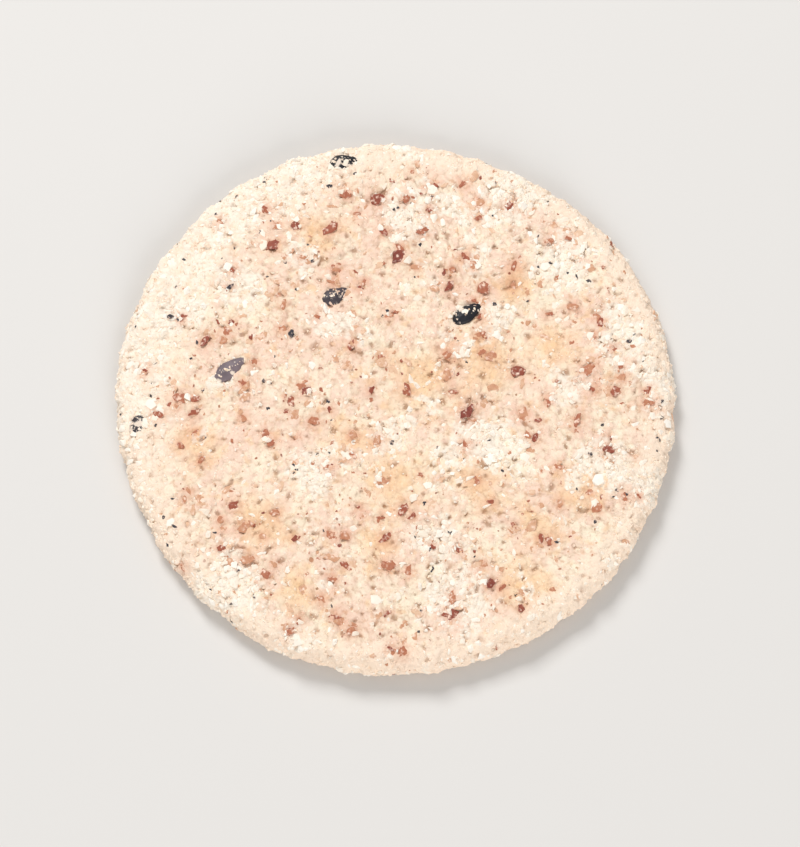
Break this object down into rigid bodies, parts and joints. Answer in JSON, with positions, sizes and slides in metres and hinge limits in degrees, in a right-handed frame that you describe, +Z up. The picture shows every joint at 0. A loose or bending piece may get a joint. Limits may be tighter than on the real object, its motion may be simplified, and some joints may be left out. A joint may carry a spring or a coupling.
{
  "type": "cracker",
  "caption": "Thin round savoury cracker with a soft rounded edge, a lumpy top with seeds, bran flakes and rice grits baked in, and a flat underside to lie on.",
  "frame": {"origin": "middle of the flat underside, which lies on the table", "axes": "+Z up through the thickness, +Y away from the viewer, +X to the viewer's right"},
  "size_m": [0.0542, 0.0541, 0.0038],
  "materials": {
    "baked_rice_dough": "matte"
  },
  "bodies": {
    "root": {"cracker": "baked_rice_dough"}
  },
  "joints": []
}
